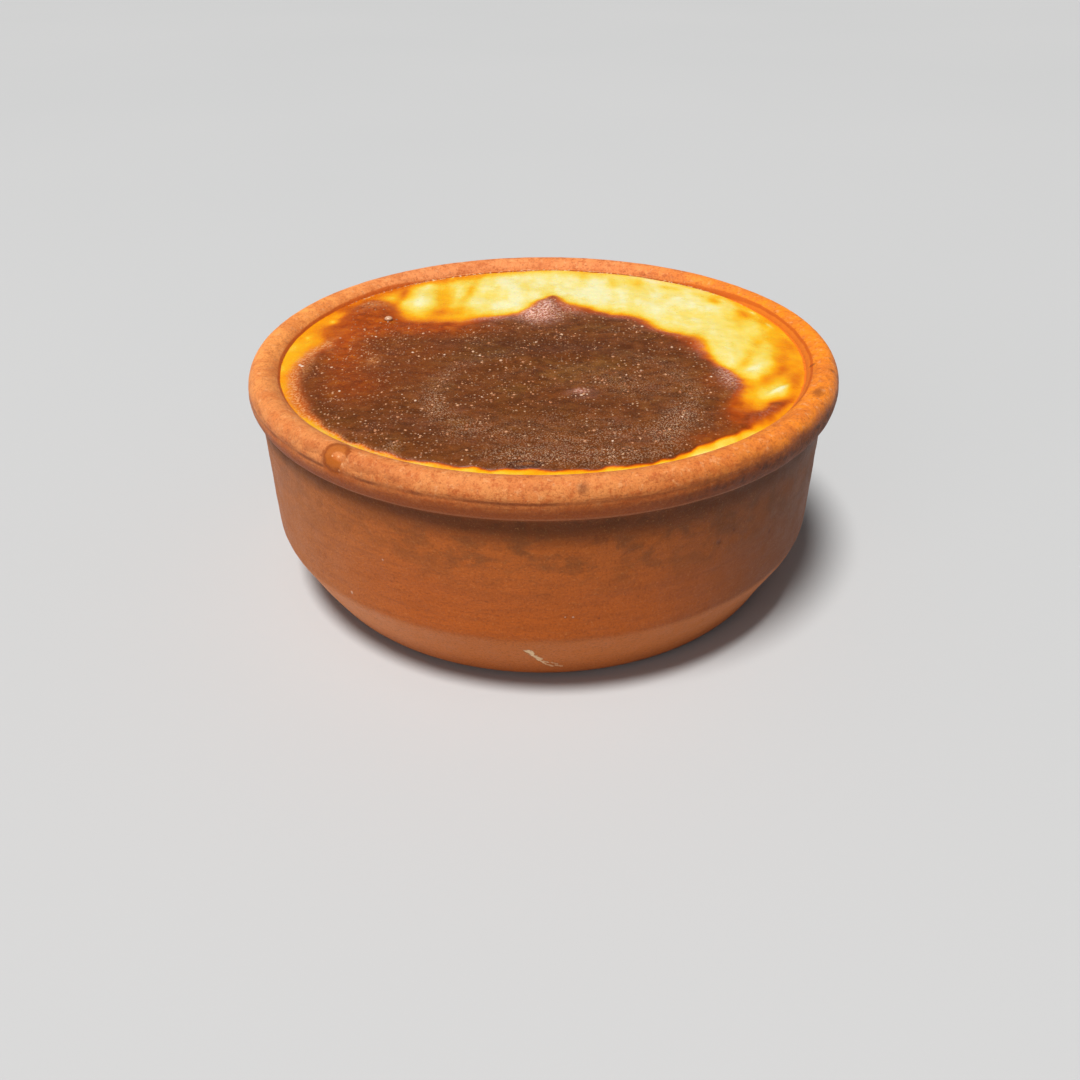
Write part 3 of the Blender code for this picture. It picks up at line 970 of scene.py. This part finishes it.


def rim_colour(n, grit, mottle, wheel):
    """Peach on the left, a deeper orange on the right, blotched and streaked, with painted shade
    low on the right.
    """
    x, y, z = n.separate()
    calmer = n.range(n.math("ABSOLUTE", x), 0.02, 0.05, 0.6, 0.35)
    patchy = n.times(n.range(n.noise(1.6, 4.0, 0.75), 0.52, 0.36), calmer)
    facing = n.range(y, 0.0, -0.05, 0.4, 1.0)
    streaks = n.range(wheel, 0.5, 0.36, 0.0, 0.55)
    streaks = n.times(streaks, n.range(z, 0.0476, 0.0455, 0.2, 1.0))
    sway = n.swing(n.noise(9.0, 4.0, 0.65), 4.0 * MM)
    low = n.minus(n.plus(z, sway), n.range(x, 0.0, 0.05, 0.0, 1.2 * MM))
    # Painted shade on the rim's lower outer side on the right, away from the light
    painted_underside_shade = n.times(n.range(x, 0.005, 0.04), n.range(low, 0.0460, 0.0424, 0.0, 0.95))
    # Painted shade along the crease line round the rim's outer side
    off = n.minus(n.plus(z, n.times(sway, 0.1)), CREASE_HEIGHT * MM)
    crease = n.range(n.math("ABSOLUTE", off), 0.5 * MM, 0.05 * MM)
    crease = n.times(crease, n.range(n.noise(9.0), 0.35, 0.6, 0.1, 0.8))
    crease = n.times(crease, n.range(x, 0.0, 0.03, 1.0, 0.2))
    off = n.math("ABSOLUTE", n.minus(z, RIM_EDGE))
    rim = n.mix(n.range(x, -0.03, 0.05), seen(290, 185, 94), seen(300, 166, 36))
    return n.layers(rim, (
        (n.range(y, 0.02, 0.05, 0.0, 0.8), (264, 165, 104)),
        (n.range(y, 0.02, -0.05, 0.0, 0.75), (238, 148, 86)),
        (n.range(x, 0.015, 0.05, 0.0, 0.8), (310, 162, 12)),
        (n.range(mottle, 0.38, 0.6, 0.5, 0.0), (236, 124, 54)),
        (patchy, (206, 94, 30)),
        (n.range(grit, 0.54, 0.7, 0.0, 0.5), (275, 200, 136)),
        (n.times(streaks, facing), (170, 82, 34)),
        (n.times(n.range(low, 0.0462, 0.0425, 0.0, 0.85), facing), (178, 80, 14)),
        # Painted shade low on the right
        (n.times(painted_underside_shade, n.range(grit, 0.35, 0.55, 1.0, 0.6)), (84, 42, 20)),
        # Painted shade in the crease
        (n.times(crease, facing), (132, 60, 22)),
        # Painted highlight along the rim's lower edge
        (n.range(off, 0.5 * MM, 0.1 * MM, 0.0, 0.35), (210, 140, 96)),
    ))


def wall_colour(n, wheel):
    """Redder below, smoky patches above, black-brown soot and painted shade under the rim, a
    bevel made paler as a painted reflection.
    """
    x, _, z = n.separate()
    wall = n.ramp(n.range(z, 0.014, 0.034), (
        (0.0, 214, 105, 25), (0.5, 211, 106, 36), (1.0, 214, 111, 38),
    ))
    smoke = n.noise(5.0, 4.0, 0.6, n.stretched((1.0, 1.0, 1.3)), 0.3)
    smoky = n.times(n.range(z, 0.02, 0.036, 0.0, 0.8), n.range(x, -0.045, 0.0, 0.4, 1.0))
    reach = n.plus(z, n.swing(smoke, 0.007))
    reach = n.minus(reach, n.range(x, 0.0, -0.045, 0.0, 0.0022))
    # A painted highlight on the bevel's left part
    left_bevel_highlight = n.times(n.range(z, *BEVEL_TOP), n.range(x, -0.01, -0.04, 0.0, 0.5))
    return n.layers(wall, (
        # Painted sheen: lighter and tanner on the left
        (n.range(x, -0.02, -0.05, 0.0, 0.6), (206, 128, 66)),
        (n.range(wheel, 0.52, 0.36, 0.0, 0.2), (150, 74, 30)),
        (n.times(n.range(smoke, 0.6, 0.36), smoky), (146, 82, 36)),
        # Soot and painted shade: darker and greyer on the right
        (n.range(x, 0.012, 0.05, 0.0, 0.7), (128, 78, 42)),
        # Soot and painted shade under the rim's overhang
        (n.range(reach, 0.034, 0.0388, 0.0, 0.75), (98, 50, 18)),
        # Painted reflection: the down-facing bevel is paler
        (n.range(z, *BEVEL_TOP, 0.0, 0.6), (252, 146, 68)),
        # Painted highlight on the bevel, on the left
        (left_bevel_highlight, (275, 175, 110)),
        # Painted contact shadow, darker towards the foot
        (n.range(z, 0.009, 0.001, 0.0, 0.6), (186, 84, 14)),
    ))


def clay_material():
    """Rim and wall, stained where the pudding touches, with grit and single marks."""
    n = Nodes("terracotta")
    x, _, z = n.separate()
    fine = n.noise(0.45, 5.0, 0.75)
    grit = n.noise(1.3, 4.0, 0.7)
    mottle = n.noise(5.0, 5.0, 0.65)
    wheel = n.noise(1.1, 4.0, 0.65, n.turned(0.12))
    rim = rim_colour(n, grit, mottle, wheel)
    colour = n.mix(n.range(z, *RIM_TO_WALL), rim, wall_colour(n, wheel))
    inside = n.range(n.minus(milk_line(n), n.radius()), 0.0, 0.3 * MM)

    # A drip of caramel on the rim, scratches that show the raw clay, pits darkened as painted
    # shade, and specks
    hollow = n.minus(1.0, n.marks(DRIP_HOLLOW, 0.2))
    ring = n.times(n.marks(DRIP, 0.2), hollow)
    outline = n.times(n.minus(ring, n.marks(DRIP_INSIDE, 0.3)), hollow, clamp=True)
    chips = n.most([n.stroke(*scratch, 0.7) for scratch in SCRATCHES])
    specks = n.marks(SPECKS, 0.3)
    pits = n.marks(PITS, 0.6, 0.7)
    colour = n.layers(colour, (
        (n.range(fine, 0.5, 0.36, 0.0, 0.38), (140, 60, 16)),
        (n.range(fine, 0.56, 0.7, 0.0, 0.3), (250, 176, 106)),
        (n.dots(2.4, (0.14, 0.06), 0, (0.6, 0.9, 0.0, 0.4)), (120, 52, 24)),
        (n.times(inside, n.range(z, *CONTACT_HEIGHTS, 0.0, 0.85)), (255, 136, 30)),
        (n.times(contact_line(n), 0.85), (222, 100, 12)),
        (n.times(n.marks(DRIP_CORE, 0.3), 0.7), (214, 104, 8)),
        (n.times(ring, 0.8), (198, 102, 12)),
        (outline, (152, 62, 0)),
        (n.times(n.marks(DRIP_GLINTS, 0.5), 0.6), (270, 200, 144)),
        (n.times(n.stroke(*DRIP_TRAIL, 0.4), 0.6), (186, 84, 10)),
        (n.times(chips, n.range(x, -0.0022, 0.0015, 1.0, 0.5)), (400, 240, 186)),
        (n.times(specks, 0.7), (252, 200, 170)),
        # Painted shade in the pits
        (n.times(pits, 0.6), (120, 56, 26)),
    ))

    relief = n.minus(n.plus(fine, grit), n.plus(chips, n.times(pits, 0.4)))
    relief = n.plus(relief, n.times(n.plus(specks, ring), 0.8))
    return n.finish(
        Base_Color=colour,
        Roughness=n.range(mottle, 0.3, 0.7, 0.5, 0.66),
        IOR=1.45,
        Specular_IOR_Level=0.25,
        Sheen_Weight=0.03,
        Sheen_Roughness=0.5,
        Normal=n.bump(relief, 0.18, 0.9),
    )


# ---- stage

FLOOR_HALF_SIDE = 3000.0
FLOOR_TONES = ((0.465, 0.475, 0.485), (0.495, 0.5, 0.51))


def make_floor():
    """A pale level floor under the bowl."""
    side = np.linspace(-FLOOR_HALF_SIDE, FLOOR_HALF_SIDE, 3)
    points = [(px, py, 0.0) for py in side for px in side]
    faces = [(0, 1, 4, 3), (1, 2, 5, 4), (3, 4, 7, 6), (4, 5, 8, 7)]
    floor = new_mesh_object("floor", points, faces)
    n = Nodes("pale_floor")
    floor.data.materials.append(
        n.finish(Base_Color=n.mix(n.noise(400.0), *FLOOR_TONES), Roughness=0.8)
    )


# The way to the sun, and where the fill lamp stands and aims, in metres
KEY_FROM = (-0.17, -0.24, 0.95)
KEY = {"energy": 4.0, "angle": math.radians(16.0), "color": (1.0, 0.98, 0.95)}
FILL_FROM = (-0.9, -1.3, 0.6)
FILL_AIM = (0.0, 0.0, 0.03)
FILL = {"shape": "SQUARE", "size": 0.9, "energy": 4.6, "color": (1.0, 0.98, 0.96)}
SKY = (0.92, 0.96, 1.0)
SKY_STRENGTH = 0.15


def add_light(name, kind, place, back, settings):
    """A light at a place in metres, with its back turned along a vector."""
    light = bpy.data.lights.new(name, kind)
    for key, value in settings.items():
        setattr(light, key, value)
    holder = bpy.data.objects.new(name, light)
    holder.location = place
    holder.rotation_euler = back.to_track_quat("Z", "Y").to_euler()
    bpy.context.scene.collection.objects.link(holder)


def make_lights():
    """A soft sun, a large lamp from the front left and a weak even sky."""
    add_light("key", "SUN", (0.0, 0.0, 0.0), Vector(KEY_FROM), KEY)
    add_light("fill", "AREA", FILL_FROM, Vector(FILL_FROM) - Vector(FILL_AIM), FILL)
    world = bpy.data.worlds.new("studio")
    world.use_nodes = True
    background = world.node_tree.nodes["Background"]
    background.inputs["Color"].default_value = (*SKY, 1.0)
    background.inputs["Strength"].default_value = SKY_STRENGTH
    bpy.context.scene.world = world
    bpy.context.scene.view_settings.view_transform = "Standard"
    bpy.context.scene.view_settings.look = "None"


CAMERA_DISTANCE = 234.0  # in mm, from the middle of the base
CAMERA_ELEVATION = 32.76  # degrees
CAMERA_TURN = (0.223, -0.258, 0.39)  # yaw, pitch and roll off that aim, degrees
FOCAL_LENGTH = 33.42  # for a 36 mm wide frame


def make_camera():
    """The camera that was fitted to the photo."""
    elevation = math.radians(CAMERA_ELEVATION)
    place = Vector((0.0, -math.cos(elevation), math.sin(elevation))) * CAMERA_DISTANCE * MM
    forward = -place.normalized()
    right = Vector((1.0, 0.0, 0.0))
    up = right.cross(forward)
    yaw, pitch, roll = (math.radians(v) for v in CAMERA_TURN)
    turn = Matrix.Rotation(yaw, 3, up)
    forward, right = turn @ forward, turn @ right
    turn = Matrix.Rotation(pitch, 3, right)
    forward, up = turn @ forward, turn @ up
    turn = Matrix.Rotation(roll, 3, forward)
    right, up = turn @ right, turn @ up
    lens = bpy.data.cameras.new("camera")
    lens.sensor_width = 36.0
    lens.lens = FOCAL_LENGTH
    lens.clip_start = 0.01
    camera = bpy.data.objects.new("camera", lens)
    axes = Matrix((right, up, -forward)).transposed()
    camera.matrix_world = Matrix.Translation(place) @ axes.to_4x4()
    bpy.context.scene.collection.objects.link(camera)
    bpy.context.scene.camera = camera


# ---- all together

make_camera()
make_floor()
make_lights()

bowl = make_bowl()
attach(bowl, "root")
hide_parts("clay_bowl")

pudding = make_pudding()
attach(pudding, "root")
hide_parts("rice_pudding")

bubbles = make_bubbles()
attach(bubbles, "root")
